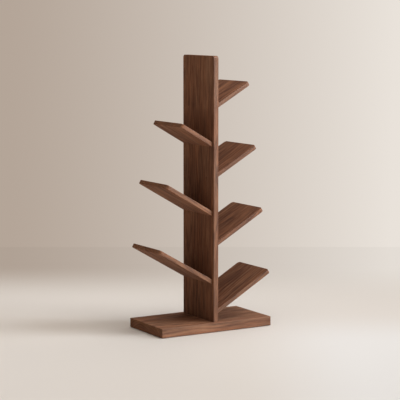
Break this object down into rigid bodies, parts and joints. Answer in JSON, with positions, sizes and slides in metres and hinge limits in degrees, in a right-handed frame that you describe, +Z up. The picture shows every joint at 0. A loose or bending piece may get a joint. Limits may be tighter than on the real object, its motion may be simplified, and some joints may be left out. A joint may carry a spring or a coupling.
{
  "type": "tree shaped bookshelf",
  "caption": "Free-standing walnut bookshelf shaped like a tree: an upright spine board on a thick base, with tilted shelves rising outwards from both of its faces.",
  "frame": {"origin": "on the floor under the middle of the base board, at the underside of the middle felt pad", "axes": "+Z up along the spine, +X towards the side with the most shelves, -Y towards the front"},
  "size_m": [0.568, 0.29, 1.2],
  "materials": {
    "walnut": "satin oiled walnut, fine straight grain along each board, slightly worn eased edges",
    "plug_walnut": "satin oiled walnut plug, cut flush with the spine",
    "screw_steel": "bright zinc plated wood screw",
    "dowel_beech": "raw beech dowel",
    "pad_felt": "dense brown felt"
  },
  "bodies": {
    "root": {"base_board": "walnut", "spine_board": "walnut", "shelf_right_1": "walnut", "shelf_right_2": "walnut", "shelf_right_3": "walnut", "shelf_right_4": "walnut", "shelf_left_1": "walnut", "shelf_left_2": "walnut", "shelf_left_3": "walnut", "plug_right_1_front": "plug_walnut", "shelf_screw_right_1_front": "screw_steel", "plug_right_1_back": "plug_walnut", "shelf_screw_right_1_back": "screw_steel", "shelf_dowel_right_1": "dowel_beech", "plug_right_2_front": "plug_walnut", "shelf_screw_right_2_front": "screw_steel", "plug_right_2_back": "plug_walnut", "shelf_screw_right_2_back": "screw_steel", "shelf_dowel_right_2": "dowel_beech", "plug_right_3_front": "plug_walnut", "shelf_screw_right_3_front": "screw_steel", "plug_right_3_back": "plug_walnut", "shelf_screw_right_3_back": "screw_steel", "shelf_dowel_right_3": "dowel_beech", "plug_right_4_front": "plug_walnut", "shelf_screw_right_4_front": "screw_steel", "plug_right_4_back": "plug_walnut", "shelf_screw_right_4_back": "screw_steel", "shelf_dowel_right_4": "dowel_beech", "plug_left_1_front": "plug_walnut", "shelf_screw_left_1_front": "screw_steel", "plug_left_1_back": "plug_walnut", "shelf_screw_left_1_back": "screw_steel", "shelf_dowel_left_1": "dowel_beech", "plug_left_2_front": "plug_walnut", "shelf_screw_left_2_front": "screw_steel", "plug_left_2_back": "plug_walnut", "shelf_screw_left_2_back": "screw_steel", "shelf_dowel_left_2": "dowel_beech", "plug_left_3_front": "plug_walnut", "shelf_screw_left_3_front": "screw_steel", "plug_left_3_back": "plug_walnut", "shelf_screw_left_3_back": "screw_steel", "shelf_dowel_left_3": "dowel_beech", "base_screw_1": "screw_steel", "base_screw_2": "screw_steel", "base_screw_3": "screw_steel", "base_screw_4": "screw_steel", "base_dowel_front": "dowel_beech", "base_dowel_back": "dowel_beech", "pad_centre": "pad_felt", "pad_front_left": "pad_felt", "pad_front_right": "pad_felt", "pad_back_left": "pad_felt", "pad_back_right": "pad_felt"}
  },
  "joints": []
}
